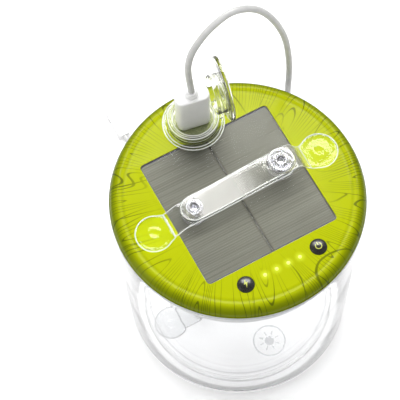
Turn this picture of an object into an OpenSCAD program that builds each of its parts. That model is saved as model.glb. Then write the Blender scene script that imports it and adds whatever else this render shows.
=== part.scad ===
/* [Clear body] */
// Outside diameter of the clear inflated body
body_d = 126; // [124:1:130]
// Height from the floor to the top film, inflated
body_h = 138; // [134:1:150]
// Wall thickness of the clear body
wall_t = 0.6; // [0.5:0.1:0.9]
// Radius of the rounded foot under the clear body
foot_r = 6; // [5:0.5:7]

/* [Top unit] */
// Radius of the rounded shoulder of the top film
shoulder_r = 5; // [4:0.5:6]
// Depth of the electronics housing, top film to tray floor
housing_h = 19; // [18.5:0.5:22]
// Side of the square solar panel
panel_w = 71.5; // [66:0.5:71.5]
// Number of white lantern LEDs
led_count = 10; // [6:1:12]

/* [Charging port] */
// Sideways place of the port, measured from the centre line
port_x = -0.9; // [-1:0.1:0]
// Distance of the port behind the centre
port_y = 44; // [43.5:0.5:45]
// Turn of the socket and its cap about the centre of the port
port_turn = -10; // [-10:1:0]
// Radius of the round well around the socket
well_r = 10.3; // [10:0.1:11]
// Height of the collar above the top film
collar_h = 7; // [6:0.5:8]
// Radius of the port cap
cap_r = 16.5; // [15:0.5:16.5]

/* [Buttons] */
// Radius of each push button
button_r = 4.1; // [3.5:0.1:4.5]
// Distance of each button from the centre line
button_x = 20; // [18:0.5:24]
// Distance of the buttons in front of the centre
button_y = 44; // [43:0.5:46]

/* [Straps] */
// Width of the straps
strap_w = 13; // [11:0.5:14]
// Distance of each snap from the centre line
snap_x = 24; // [22:0.5:26]
// Radius of the round welded pads
pad_r = 9.3; // [8.5:0.1:9.5]

/* [Cable] */
// Diameter of the charging cable
cord_d = 3.3; // [3:0.1:3.6]

/* [Hidden] */

$fn = 96;

// Clear body
body_r = body_d / 2;
foot_inner_r = body_r - 9.5;
film_z = 5.5;
film_t = 1;
foot_wall = 0.9;
foot_top_z = 8;
ring_radii = [44, 47.5, 51.5];
mark_y = 37;

// Top unit, from the film downwards
top_z = body_h;
skin_t = 1;
skirt_z = top_z - 6.8;
deck_top = top_z - skin_t;
deck_bottom = deck_top - 3.4;
deck_bevel = 1.5;
flat_r = body_r - shoulder_r;
tray_bottom = top_z - housing_h;
tray_t = 1.2;
tray_r = body_r - 2.5;
board_t = 1.4;
board_top = top_z - 9.6;
board_bottom = board_top - board_t;
board_r = 53;
led_ring_r = 45.5;
diffuser_r = [41, 50];
panel_t = 1.6;
cell_t = 0.2;
panel_bottom = deck_top - panel_t - cell_t;
screw_at = [for (x = [-36, 36], y = [-30, 30]) [x, y]];
battery_size = [60, 40, 5.5];
battery_z = tray_bottom + tray_t + 0.5;

// Controls
lamp_x = [-9.6, -3.2, 3.2, 9.6];
lamp_y = -44.2;
button_travel = 0.4;
button_flange_r = button_r + 1.1;
button_pocket_z = deck_top - 1.8;

// Port
plug_w = 17;
plug_t = 8.5;
plug_bottom = top_z + 2.8;
plug_top = top_z + 29;
plug_collar_h = 3.5;
socket_outer = [13.2, 5.8];
socket_inner = [12.4, 4.9];
plug_shell = [12, 4.5];
shell_t = 0.3;
socket_hole_r = 7.6;
collar_top = top_z + collar_h;
collar_t = 2.5;
boss_flange_r = 15.7;
cap_hinge_x = 15;
cap_hinge_z = collar_top + 0.8;
cap_t = 1.4;
cap_skirt_h = 5;
cap_skirt_r = well_r - 0.3;
cap_tab_h = 1.6;
cap_tab_w = 10;

// Straps: heights of the underside of each strap above the film it is welded to
strap_t = 0.9;
pad_x = [43.6, 46];
neck_x = 37.7;
pad_t = 1;
snap_base_r = 7;
snap_flat = 6.5;
post_r = 2.2;
snap_bore_r = 2.9;
// [lower at left snap, lower at right snap, upper at left snap, upper at right snap]
top_heights = [4.3, 6.4, 7.1, 10];
bottom_heights = [1, 1, 2.6, 2.6];

// Cable, laid from the plug over the back edge and down to the floor
cord_r = cord_d / 2;
lay_z = 1.7;
coil_at = [45, 88];
outer_turn_r = 21.2;
inner_turn_r = 14.4;
coil_layers = 2;
coil_r = [inner_turn_r - cord_r, outer_turn_r + cord_r];
coil_h = coil_layers * cord_d;
lead_route = [
    [-0.9, 44, 170.8], [-1.3, 44.1, 178], [-1.8, 44.2, 187], [-1.5, 44.2, 196], [0.8, 44.2, 205],
    [5.5, 44.3, 212.5], [12, 44.5, 218.5], [21, 45, 221.5], [30, 45.5, 217.5], [38, 46, 208.5],
    [44.5, 46, 196], [49.5, 46.5, 182], [53, 47, 168], [55, 47, 153], [56, 47, 138],
    [56, 47, 122], [56.5, 47.5, 106], [57, 48, 90], [57, 48.5, 74], [57.5, 49, 58],
    [57.5, 50, 43], [57.5, 52, 29], [58, 55.5, 17], [58.5, 60.5, 8], [60, 67, 3],
    [62.5, 74, lay_z], [65.5, 81, lay_z], [coil_at.x + outer_turn_r, coil_at.y, lay_z]
];
tail_route = [
    [coil_at.x, coil_at.y + outer_turn_r, 5],
    [38, 109.5, 4.3], [30, 109.5, 2.7], [22, 109, lay_z], [13, 108.5, lay_z],
    [4, 108.5, lay_z], [-3, 109.5, lay_z], [-8, 112, 2], [-11, 115.5, 2.3],
    [-12, 120.5, 2.4]
];
connector_at = [-12, 120.5, 2.4];
connector_size = [7.6, 12, 4.8];
tip_size = [6.7, 6.6, 1.5];

// Shared shapes

module rounded_rect(size, r) {
    square([size.x - 2 * r, size.y], center = true);
    square([size.x, size.y - 2 * r], center = true);
    for (x = [-1, 1], y = [-1, 1])
        translate([x * (size.x / 2 - r), y * (size.y / 2 - r)]) circle(r, $fn = 32);
}

module rounded_plate(size, r, h) {
    linear_extrude(h) rounded_rect(size, r);
}

module ring(r_out, r_in, h) {
    difference() {
        cylinder(r = r_out, h = h);
        translate([0, 0, -1]) cylinder(r = r_in, h = h + 2);
    }
}

module at_port(z) {
    translate([port_x, port_y, z]) rotate(port_turn) children();
}

function unit(v) = v / norm(v);

function tangent(pts, i) =
    unit(pts[min(i + 1, len(pts) - 1)] - pts[max(i - 1, 0)]);

function transported(pts, seed, i = 0, done = []) =
    i == len(pts) ? done :
    let (
        t = tangent(pts, i),
        last = i == 0 ? seed : done[i - 1],
        n = unit(last - (last * t) * t)
    )
    transported(pts, seed, i + 1, concat(done, [n]));

// A round tube swept along a list of points, as one closed solid
module tube_along(pts, r, seed, sides = 8) {
    normals = transported(pts, seed);
    last = len(pts) - 1;
    points = [
        for (i = [0:last])
            let (n = normals[i], b = cross(tangent(pts, i), n))
            for (k = [0:sides - 1])
                let (a = 360 * k / sides)
                pts[i] + r * (cos(a) * n + sin(a) * b)
    ];
    walls = [
        for (i = [0:last - 1], k = [0:sides - 1])
            let (next = (k + 1) % sides)
            [i * sides + k, (i + 1) * sides + k, (i + 1) * sides + next, i * sides + next]
    ];
    start_face = [for (k = [0:sides - 1]) k];
    end_face = [for (k = [sides - 1:-1:0]) last * sides + k];
    polyhedron(points, concat(walls, [start_face, end_face]), convexity = 6);
}

// Clear body

module bottom_film() {
    color([0.93, 0.95, 0.96, 0.4])
    difference() {
        union() {
            translate([0, 0, film_z]) cylinder(r = foot_inner_r, h = film_t);
            for (r = ring_radii)
                translate([0, 0, film_z + film_t]) ring(r + 0.4, r - 0.4, 0.5);
        }
        translate([0, mark_y, 0]) cylinder(r = 5.1, h = 20);
        for (y = [-mark_y, mark_y])
            translate([0, y, film_z + film_t]) cylinder(r = 9.5, h = 2);
    }
}

module base_ring() {
    mid_r = body_r - foot_r;
    color([0.9, 0.93, 0.94, 0.5])
    rotate_extrude() {
        translate([body_r - foot_wall, foot_r]) square([foot_wall, foot_top_z - foot_r]);
        difference() {
            translate([mid_r, foot_r]) circle(foot_r);
            translate([mid_r, foot_r]) circle(foot_r - foot_wall);
            translate([mid_r - foot_r, foot_r]) square([2 * foot_r + 1, foot_r + 1]);
            translate([mid_r - foot_r - 1, -1]) square([foot_r + 1, 2 * foot_r + 1]);
        }
        polygon([
            [mid_r + 0.1, 0], [mid_r + 0.1, foot_wall], [foot_inner_r + foot_wall, foot_wall],
            [foot_inner_r + foot_wall, film_z + film_t], [foot_inner_r, film_z + film_t],
            [foot_inner_r, 0.4], [foot_inner_r + 0.4, 0]
        ]);
    }
}

module clear_wall() {
    color([0.93, 0.96, 0.98, 0.3])
    translate([0, 0, foot_top_z])
        ring(body_r, body_r - wall_t, skirt_z - foot_top_z - 0.2);
}

// Raised round mark with a small sun on the bottom film
module bottom_medallion() {
    color([0.9, 0.93, 0.94, 0.6])
    translate([0, -mark_y, film_z + film_t]) {
        ring(9.3, 8.4, 0.9);
        cylinder(r = 2.6, h = 0.8);
        for (a = [0:45:315])
            rotate(a) translate([3.6, -0.4, 0]) cube([2.2, 0.8, 0.8]);
    }
}

module valve_body() {
    color([0.85, 0.88, 0.88, 0.7])
    translate([0, mark_y, 0])
    difference() {
        union() {
            translate([0, 0, 3.4]) cylinder(r = 5, h = 9.6);
            translate([0, 0, film_z + film_t]) cylinder(r = 9, h = 0.9);
        }
        translate([0, 0, 3]) cylinder(r = 3.2, h = 12);
    }
}

module valve_plug() {
    color([0.8, 0.84, 0.85, 0.8])
    translate([0, mark_y, 0]) {
        translate([0, 0, 1]) cylinder(r = 5.6, h = 2.2);
        translate([0, 0, 3.2]) cylinder(r = 3.12, h = 5);
        translate([0, 5, 1]) cylinder(r = 1.8, h = 1.2);
    }
}

// Straps. One module serves the top, and the bottom mirrored.

module strap_plan(x_end, x_start) {
    hull() {
        translate([x_end, 0]) circle(strap_w / 2, $fn = 32);
        translate([x_start - 0.5, -strap_w / 2]) square([0.5, strap_w]);
    }
}

// A strap cut from a path in the XZ plane; side -1 starts at the left neck.
// Its root is a round bead, which is the line that it bends on.
module strap(side, heights, start_z) {
    near = heights[0];
    far = heights[1];
    below = [
        [-neck_x, start_z], [-snap_x - snap_flat, near], [-snap_x + snap_flat, near],
        [snap_x - snap_flat, far], [snap_x + snap_flat + 0.5, far]
    ];
    above = [for (i = [len(below) - 1:-1:0]) below[i] + [0, strap_t]];
    mirror([side > 0 ? 1 : 0, 0, 0]) {
        intersection() {
            rotate([90, 0, 0]) translate([0, 0, -strap_w])
                linear_extrude(2 * strap_w) polygon(concat(below, above));
            translate([0, 0, -1]) linear_extrude(30)
                mirror([1, 0]) strap_plan(-snap_x, neck_x);
        }
        translate([-neck_x, 0, start_z + strap_t / 2]) rotate([90, 0, 0])
            cylinder(d = strap_t, h = strap_w, center = true, $fn = 32);
    }
}

module strap_lower(heights) {
    strap(-1, [heights[0], heights[1]], pad_t + 0.1);
}

module strap_upper(heights) {
    difference() {
        strap(1, [heights[3], heights[2]], pad_t + 0.2);
        for (x = [-snap_x, snap_x]) translate([x, 0, -1]) cylinder(r = snap_bore_r, h = 30);
    }
}

// Base disc under the lower strap and a short post above it
module snap_stud(x, z, base_h, post_h) {
    translate([x, 0, z - base_h]) difference() {
        cylinder(r = snap_base_r, h = base_h);
        translate([0, 0, -1]) cylinder(r = 1.4, h = base_h + 1.4);
    }
    translate([x, 0, z + strap_t]) cylinder(r = post_r, h = post_h);
}

// Socket ring under the upper strap and a cap above it
module snap_cap(x, z, r, skirt_h, cap_h) {
    translate([x, 0, z + strap_t]) ring(r, snap_bore_r, cap_h);
    translate([x, 0, z - skirt_h]) ring(snap_bore_r + 2, snap_bore_r, skirt_h);
}

module pads(x) {
    for (side = [-1, 1]) difference() {
        union() {
            translate([side * x, 0, 0]) cylinder(r = pad_r, h = pad_t);
            translate([side > 0 ? neck_x + 0.3 : -x, -strap_w / 2, 0])
                cube([x - neck_x - 0.3, strap_w, pad_t]);
        }
        translate([side * x, 0, pad_t - 0.5]) cylinder(r = 1.7, h = 1);
    }
}

module on_top() {
    translate([0, 0, top_z]) children();
}

module under_bottom() {
    translate([0, 0, film_z]) mirror([0, 0, 1]) children();
}

clear_tpu = [0.92, 0.95, 0.97, 0.5];

module top_pads() {
    color(clear_tpu) on_top() pads(pad_x[1]);
}

module bottom_pads() {
    color(clear_tpu) under_bottom() pads(pad_x[0]);
}

module top_strap_lower() {
    color(clear_tpu) on_top() strap_lower(top_heights);
}

module top_strap_upper() {
    color([0.95, 0.96, 0.95, 0.8]) on_top() strap_upper(top_heights);
}

module top_snap_studs() {
    color(clear_tpu) on_top() {
        snap_stud(-snap_x, top_heights[0], 1.8, 1.9);
        snap_stud(snap_x, top_heights[1], 1.8, 1);
    }
}

module top_snap_caps() {
    color(clear_tpu) on_top() {
        snap_cap(-snap_x, top_heights[2], 4.6, 1.6, 1.6);
        snap_cap(snap_x, top_heights[3], 7.1, 2.2, 1.8);
    }
}

module bottom_strap_lower() {
    color(clear_tpu) under_bottom() strap_lower(bottom_heights);
}

module bottom_strap_upper() {
    color(clear_tpu) under_bottom() strap_upper(bottom_heights);
}

module bottom_snap_studs() {
    color(clear_tpu) under_bottom()
        for (x = [-snap_x, snap_x]) snap_stud(x, bottom_heights[0], 0.8, 0.4);
}

module bottom_snap_caps() {
    color(clear_tpu) under_bottom()
        for (x = [-snap_x, snap_x]) snap_cap(x, bottom_heights[2], 6.5, 0.4, 1.2);
}

// Top unit

module top_rim() {
    color([0.9, 0.93, 0.94, 0.5])
    translate([0, 0, skirt_z]) ring(body_r + 0.8, body_r - 2, 1);
}

module top_film() {
    color([0.79, 0.86, 0.08])
    difference() {
        rotate_extrude() {
            translate([0, top_z - skin_t]) square([flat_r + 0.1, skin_t]);
            intersection() {
                difference() {
                    translate([flat_r, top_z - shoulder_r]) circle(shoulder_r);
                    translate([flat_r, top_z - shoulder_r]) circle(shoulder_r - skin_t);
                }
                translate([flat_r, top_z - shoulder_r]) square(shoulder_r + 1);
            }
            translate([body_r - skin_t, skirt_z + 1])
                square([skin_t, top_z - shoulder_r - skirt_z - 1]);
        }
        translate([0, 0, top_z - 3]) rounded_plate([panel_w, panel_w], 2, 6);
        at_port(top_z - 3) cylinder(r = socket_hole_r, h = 6);
        for (x = [-button_x, button_x])
            translate([x, -button_y, top_z - 3]) cylinder(r = button_r + 0.2, h = 6);
    }
}

module panel_window() {
    color([0.8, 0.85, 0.85, 0.3])
    translate([0, 0, deck_top]) rounded_plate([panel_w, panel_w], 2, skin_t);
}

module solar_cells() {
    color([0.45, 0.46, 0.45])
    for (side = [-1, 1])
        translate([side * panel_w / 4, 0, deck_top - cell_t])
            rounded_plate([panel_w / 2 - 0.8, panel_w - 1.6], 1, cell_t);
}

module panel_board() {
    color([0.12, 0.14, 0.2])
    translate([0, 0, panel_bottom])
        rounded_plate([panel_w - 0.3, panel_w - 0.3], 2, panel_t);
}

module deck_plate() {
    color("white")
    difference() {
        union() {
            translate([0, 0, deck_bottom])
                cylinder(r = tray_r, h = deck_top - deck_bottom - deck_bevel);
            translate([0, 0, deck_top - deck_bevel])
                cylinder(r1 = tray_r, r2 = flat_r - 0.2, h = deck_bevel);
            for (p = screw_at)
                translate([p.x, p.y, board_top]) cylinder(r = 2.6, h = deck_bottom - board_top);
        }
        translate([0, 0, panel_bottom]) rounded_plate([panel_w, panel_w], 2, 10);
        at_port(deck_bottom - 1) cylinder(r = socket_hole_r, h = 20);
        for (x = [-button_x, button_x]) translate([x, -button_y, 0]) {
            translate([0, 0, button_pocket_z]) cylinder(r = button_flange_r + 0.3, h = 10);
            translate([0, 0, deck_bottom - 1]) cylinder(r = 1.8, h = 10);
        }
        for (x = lamp_x) translate([x, lamp_y, deck_bottom - 1]) cylinder(r = 1.5, h = 10, $fn = 32);
        for (p = screw_at)
            translate([p.x, p.y, board_top - 1]) cylinder(r = 1, h = 5, $fn = 32);
    }
}

module lower_tray() {
    color([0.97, 0.97, 0.96])
    difference() {
        translate([0, 0, tray_bottom]) cylinder(r = tray_r, h = deck_bottom - tray_bottom);
        translate([0, 0, tray_bottom + tray_t])
            cylinder(r = tray_r - tray_t, h = housing_h);
        translate([0, 0, tray_bottom - 1]) ring(diffuser_r[1], diffuser_r[0], 4);
    }
}

module light_diffuser() {
    color([0.98, 0.98, 0.95, 0.8])
    translate([0, 0, tray_bottom]) ring(diffuser_r[1] - 0.1, diffuser_r[0] + 0.1, tray_t);
}

module circuit_board() {
    color([0.05, 0.35, 0.2])
    difference() {
        translate([0, 0, board_bottom]) cylinder(r = board_r, h = board_t);
        for (p = screw_at)
            translate([p.x, p.y, board_bottom - 1]) cylinder(r = 1.2, h = 4, $fn = 32);
    }
}

module board_screws() {
    color("silver")
    for (p = screw_at) translate([p.x, p.y, 0]) {
        translate([0, 0, board_bottom - 1.3]) cylinder(r = 1.9, h = 1.3, $fn = 32);
        translate([0, 0, board_bottom]) cylinder(r = 0.95, h = 5.2, $fn = 32);
    }
}

module battery() {
    color([0.75, 0.77, 0.8])
    translate([0, 0, battery_z])
        rounded_plate([battery_size.x, battery_size.y], 2, battery_size.z);
}

module battery_pad() {
    color([0.2, 0.2, 0.2])
    translate([0, 0, tray_bottom + tray_t])
        rounded_plate([battery_size.x - 10, battery_size.y - 10], 2, 0.5);
}

// Two short leads from the battery's front edge up to the board
module battery_leads() {
    color([0.8, 0.1, 0.1])
    for (x = [-3, 3])
        translate([x, -battery_size.y / 2 - 1, battery_z + 1])
            cylinder(r = 0.7, h = board_bottom - battery_z - 1, $fn = 24);
}

module panel_leads() {
    color([0.1, 0.1, 0.1])
    for (x = [-6, 6])
        translate([x, -20, board_top])
            cylinder(r = 0.7, h = deck_bottom - board_top, $fn = 24);
}

module lantern_leds() {
    color([0.98, 0.95, 0.7])
    for (i = [0:led_count - 1])
        rotate(90 + 360 * i / led_count)
            translate([led_ring_r - 1.4, -1.75, board_bottom - 1.2]) cube([2.8, 3.5, 1.2]);
}

module indicator_leds() {
    color([0.9, 0.98, 0.6])
    for (x = lamp_x)
        translate([x - 1, lamp_y - 0.6, board_top]) cube([2, 1.2, 0.8]);
}

module light_pipes() {
    color([0.95, 1, 0.6, 0.8])
    for (x = lamp_x)
        translate([x, lamp_y, board_top + 1])
            cylinder(r = 1.4, h = deck_top - board_top - 1, $fn = 32);
}

module tact_switches() {
    color([0.2, 0.2, 0.2])
    for (x = [-button_x, button_x]) translate([x, -button_y, board_top]) {
        translate([-2.6, -2.6, 0]) cube([5.2, 5.2, 1.6]);
        cylinder(r = 1.5, h = 2.2, $fn = 32);
    }
}

// Domed key with a hidden flange under the film and a stem down to its switch
module push_button(x) {
    dome_z = top_z + 0.2;
    color([0.08, 0.08, 0.08])
    translate([x, -button_y, 0]) {
        translate([0, 0, button_pocket_z + button_travel + 0.2])
            cylinder(r = button_flange_r, h = 1);
        translate([0, 0, board_top + 2.2 + button_travel + 0.2])
            cylinder(r = 1.5, h = dome_z - board_top - 3, $fn = 32);
        translate([0, 0, button_pocket_z + button_travel + 0.2])
            cylinder(r = button_r, h = dome_z - button_pocket_z - button_travel - 0.2);
        intersection() {
            translate([0, 0, dome_z + 1.2 - 8]) sphere(8);
            translate([0, 0, dome_z]) cylinder(r = button_r, h = 2);
        }
    }
}

module power_button() {
    push_button(button_x);
}

module charge_button() {
    push_button(-button_x);
}

// Charging port

module usb_socket_shell() {
    color("silver")
    at_port(board_top)
    difference() {
        linear_extrude(plug_bottom - 0.5 - board_top) square(socket_outer, center = true);
        translate([0, 0, 0.4]) linear_extrude(20) square(socket_inner, center = true);
    }
}

module usb_socket_tongue() {
    color([0.15, 0.15, 0.15])
    at_port(board_top + 0.4) translate([-5.3, 0.1, 0]) cube([10.6, 1.6, 9]);
}

module usb_plug_shell() {
    color("silver")
    at_port(board_top + 0.6)
    linear_extrude(plug_bottom - board_top - 0.6)
    difference() {
        square(plug_shell, center = true);
        square(plug_shell - [2 * shell_t, 2 * shell_t], center = true);
    }
}

module usb_plug_insert() {
    color("white")
    at_port(board_top + 0.8)
        translate([-5.6, -1.9, 0]) cube([11.2, 1.8, plug_bottom - board_top - 0.8]);
}

module usb_plug_body() {
    color([0.96, 0.96, 0.96])
    at_port(plug_bottom) rounded_plate([plug_w, plug_t], 3, plug_top - plug_bottom);
}

module usb_plug_collar() {
    color([0.95, 0.95, 0.95])
    at_port(plug_top) cylinder(r1 = 3.4, r2 = 2.6, h = plug_collar_h, $fn = 48);
}

module port_gasket() {
    color([0.75, 0.78, 0.75, 0.9])
    at_port(top_z + 0.6)
    difference() {
        cylinder(r = well_r - 0.1, h = 1.4);
        translate([0, 0, -1]) linear_extrude(4) square(socket_outer, center = true);
    }
}

// Raised clear surround: welded flange, two ridges and the collar round the well
module port_boss() {
    color([0.86, 0.9, 0.75, 0.6])
    at_port(top_z) {
        difference() {
            union() {
                cylinder(r = boss_flange_r, h = 0.8);
                ring(14.6, 13.8, 1.6);
                cylinder(r = well_r + collar_t, h = collar_h);
                translate([well_r, -cap_tab_w / 2, collar_h - cap_tab_h])
                    cube([cap_hinge_x - well_r - 0.9, cap_tab_w, cap_tab_h]);
            }
            translate([0, 0, 0.6]) cylinder(r = well_r, h = collar_h + 2);
            translate([0, 0, -1]) linear_extrude(4) square(socket_outer + [0.2, 0.2], center = true);
            translate([0, 0, collar_h - 2.2]) ring(well_r + 1.4, well_r - 0.2, 0.9);
        }
    }
}

// Cap standing open on its hinge, with its skirt towards the plug. The skirt is placed to
// drop into the well, and the disc reaches past it as a lip for a finger.
module port_cap() {
    color([0.9, 0.94, 0.9, 0.5])
    at_port(cap_hinge_z) translate([cap_hinge_x, 0, 0]) {
        rotate([90, 0, 0])
            translate([0, 0, -cap_tab_w / 2]) cylinder(r = 0.6, h = cap_tab_w, $fn = 32);
        translate([-0.6, -cap_tab_w / 2, 0])
            cube([cap_t + 0.6, cap_tab_w, 2 * cap_tab_h + 0.6]);
        translate([0, 0, cap_tab_h + cap_r]) rotate([0, 90, 0]) cylinder(r = cap_r, h = cap_t);
        translate([0, 0, cap_hinge_x]) rotate([0, 90, 0]) {
            translate([0, 0, -cap_skirt_h]) ring(cap_skirt_r, cap_skirt_r - 0.9, cap_skirt_h);
            translate([0, 0, cap_t]) ring(8, 7.2, 0.5);
        }
    }
}

// Cable

module cord_lead() {
    color("white") tube_along(lead_route, cord_r, [1, 0, 0]);
}

module cord_coil() {
    color("white")
    translate([coil_at.x, coil_at.y, 0])
    rotate_extrude() translate([(coil_r[0] + coil_r[1]) / 2, coil_h / 2])
        rounded_rect([coil_r[1] - coil_r[0], coil_h], cord_r - 0.1);
}

module cord_tail() {
    color("white") tube_along(tail_route, cord_r, [0, 0, 1]);
}

module connector_body() {
    color("white")
    translate(connector_at)
    rotate([-90, 0, 0]) rounded_plate([connector_size.x, connector_size.z], 2.2, connector_size.y);
}

module connector_tip() {
    color("silver")
    translate(connector_at + [0, connector_size.y, 0])
    rotate([-90, 0, 0]) rounded_plate([tip_size.x, tip_size.z], 0.7, tip_size.y);
}

bottom_film();
base_ring();
clear_wall();
bottom_medallion();
bottom_pads();
bottom_strap_lower();
bottom_snap_studs();
bottom_strap_upper();
bottom_snap_caps();
valve_body();
valve_plug();
top_rim();
top_film();
panel_window();
solar_cells();
panel_board();
deck_plate();
lower_tray();
light_diffuser();
circuit_board();
board_screws();
battery();
battery_pad();
battery_leads();
panel_leads();
lantern_leds();
indicator_leds();
light_pipes();
tact_switches();
power_button();
charge_button();
usb_socket_shell();
usb_socket_tongue();
port_gasket();
port_boss();
port_cap();
top_pads();
top_strap_lower();
top_snap_studs();
top_strap_upper();
top_snap_caps();
usb_plug_body();
usb_plug_collar();
usb_plug_shell();
usb_plug_insert();
cord_lead();
cord_coil();
cord_tail();
connector_body();
connector_tip();
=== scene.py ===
import math

import bpy
import numpy as np
from mathutils import Matrix, Vector
from mathutils.geometry import delaunay_2d_cdt


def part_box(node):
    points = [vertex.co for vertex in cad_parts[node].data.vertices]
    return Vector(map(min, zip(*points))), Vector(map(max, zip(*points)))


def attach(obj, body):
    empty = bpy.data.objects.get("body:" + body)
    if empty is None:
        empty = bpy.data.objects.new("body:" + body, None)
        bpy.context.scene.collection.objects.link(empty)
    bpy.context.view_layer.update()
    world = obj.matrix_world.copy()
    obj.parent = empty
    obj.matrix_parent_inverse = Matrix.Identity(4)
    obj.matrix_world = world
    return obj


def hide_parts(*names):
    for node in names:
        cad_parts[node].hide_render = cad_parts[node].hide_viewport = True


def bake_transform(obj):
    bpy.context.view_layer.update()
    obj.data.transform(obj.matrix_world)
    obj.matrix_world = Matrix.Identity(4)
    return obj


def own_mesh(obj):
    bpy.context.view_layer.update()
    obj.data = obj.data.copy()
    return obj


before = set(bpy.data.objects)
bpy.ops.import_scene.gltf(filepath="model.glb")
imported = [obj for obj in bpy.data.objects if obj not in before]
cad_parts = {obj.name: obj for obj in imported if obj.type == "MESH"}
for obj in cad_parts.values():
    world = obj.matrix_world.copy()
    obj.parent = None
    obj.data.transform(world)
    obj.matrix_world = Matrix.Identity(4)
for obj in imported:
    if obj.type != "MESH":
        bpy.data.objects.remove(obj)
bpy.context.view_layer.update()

# Shapes below are written in millimetres and turned into metres as their mesh is made.
MM = 0.001


def box_mm(node):
    """The lowest and highest corners of a CAD node, in millimetres."""
    low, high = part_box(node)
    return low / MM, high / MM


def middle_mm(node):
    """The middle of a CAD node's box, in millimetres."""
    return [(a + b) / 2 for a, b in zip(*box_mm(node))]


def add_object(name, data):
    made = bpy.data.objects.new(name, data)
    bpy.context.scene.collection.objects.link(made)
    return made


FILM_LOW, FILM_HIGH = box_mm("top_film")
TOP_Z = FILM_HIGH.z
BODY_R = FILM_HIGH.x
PORT_X, PORT_Y, _ = middle_mm("port_boss")
PORT_TURN = math.radians(-10)
KEY_X, KEY_Y, _ = middle_mm("power_button")
LAMP_X = (-9.6, -3.2, 3.2, 9.6)
LAMP_Y = middle_mm("light_pipes")[1]
# The snaps, and the ends of the pads' necks, where the straps start.
SNAP_X = 24
NECK_X = 37.7
# The inflation valve and the sun mark, on the bottom film.
VALVE_Y, MARK_Y = 37, -37


# ---------------------------------------------------------------- camera, light and floor

CAMERA_TARGET = Vector((0, 0, 0.068))
CAMERA_AZIMUTH, CAMERA_ELEVATION = math.radians(-29.03), math.radians(67.68)
CAMERA_DISTANCE = 0.7254
CAMERA_LENS = 121.5
CAMERA_SHIFT = (-0.0944, 0.1165)

# The studio: (height, grey) stops from straight down to straight up.
SKY_GREYS = ((0.0, 0.45), (0.3, 0.85), (0.7, 0.55), (0.86, 0.22), (1.0, 0.16))
SKY_STRENGTH = 0.75
FLOOR_HALF, FLOOR_Z = 3.0, -0.0002


def make_camera():
    data = bpy.data.cameras.new("camera")
    camera = add_object("camera", data)
    flat = math.cos(CAMERA_ELEVATION)
    back = Vector((
        math.sin(CAMERA_AZIMUTH) * flat, -math.cos(CAMERA_AZIMUTH) * flat, math.sin(CAMERA_ELEVATION)
    ))
    camera.location = CAMERA_TARGET + back * CAMERA_DISTANCE
    camera.rotation_euler = back.to_track_quat("Z", "Y").to_euler()
    data.lens = CAMERA_LENS
    data.shift_x, data.shift_y = CAMERA_SHIFT
    data.dof.use_dof = False
    bpy.context.scene.camera = camera


def area_light(name, location, target, size, power, seen_in):
    data = bpy.data.lights.new(name, "AREA")
    data.shape = "RECTANGLE"
    data.size, data.size_y = size
    data.energy = power
    light = add_object(name, data)
    light.location = location
    light.rotation_euler = (Vector(location) - Vector(target)).to_track_quat("Z", "Y").to_euler()
    light.visible_diffuse = "diffuse" in seen_in
    light.visible_glossy = "glossy" in seen_in
    light.visible_transmission = "transmission" in seen_in


def make_world():
    """A pale studio with a greyer ceiling and horizon, so that clear edges show."""
    world = bpy.data.worlds.new("studio")
    world.use_nodes = True
    tree = world.node_tree
    coords = add_node(tree, "TexCoord", {}, "Generated")
    shade = add_node(tree, "ValToRGB", {0: add_node(tree, "SeparateXYZ", {0: coords}, "Z")})
    ramp = shade.node.color_ramp
    ramp.elements[0].position = SKY_GREYS[0][0]
    ramp.elements[1].position = SKY_GREYS[-1][0]
    for height, _ in SKY_GREYS[1:-1]:
        ramp.elements.new(height)
    for element, (_, grey) in zip(ramp.elements, SKY_GREYS):
        element.color = (grey, grey, grey * 1.01, 1)
    background = tree.nodes["Background"]
    feed(tree, background.inputs["Color"], shade)
    feed(tree, background.inputs["Strength"], SKY_STRENGTH)
    bpy.context.scene.world = world


def make_stage():
    make_world()
    all_rays = ("diffuse", "glossy", "transmission")
    area_light("overhead", (0.3, 0.6, 2.6), (0, 0, 0.1), (2.4, 2.4), 66.0, all_rays[:1])
    area_light("back_softbox", (0.378, 0.682, 1.05), (0, 0, 0.138), (1.15, 0.57), 26.0, all_rays[1:])
    area_light("side_strip", (-0.95, 0.1, 0.55), (0, 0, 0.1), (0.25, 0.9), 2.0, all_rays)
    mesh = bpy.data.meshes.new("floor")
    corners = [(x * FLOOR_HALF, y * FLOOR_HALF, FLOOR_Z) for x, y in ((-1, -1), (1, -1), (1, 1), (-1, 1))]
    mesh.from_pydata(corners, [], [(0, 1, 2, 3)])
    paper = principled("studio_floor", (0.93, 0.93, 0.93), 0.25, specular=0.3)
    set_look(paper, "Emission Color", (1, 1, 1))
    set_look(paper, "Emission Strength", 0.21)
    mesh.materials.append(paper)
    floor = add_object("floor", mesh)
    view = bpy.context.scene.view_settings
    view.view_transform = "Standard"
    view.look = "None"
    cycles = bpy.context.scene.cycles
    cycles.max_bounces = 24
    cycles.transmission_bounces = 24
    cycles.transparent_max_bounces = 32


# ---------------------------------------------------------------- materials
def feed(tree, socket, value):
    """Links an input to an output, or sets it. A colour may be given without its alpha."""
    if isinstance(value, bpy.types.NodeSocket):
        tree.links.new(value, socket)
    elif socket.type == "RGBA":
        socket.default_value = (*value, 1)
    else:
        socket.default_value = value


def add_node(tree, kind, inputs, output=0, operation=None):
    """Adds a shader node, feeds its inputs, and gives one of its outputs."""
    made = tree.nodes.new("ShaderNode" + kind)
    if operation:
        made.operation = operation
    for key, value in inputs.items():
        feed(tree, made.inputs[key], value)
    return made.outputs[output]


def shader_of(material):
    return material.node_tree.nodes["Principled BSDF"]


def set_look(material, socket, value):
    feed(material.node_tree, shader_of(material).inputs[socket], value)


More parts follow.
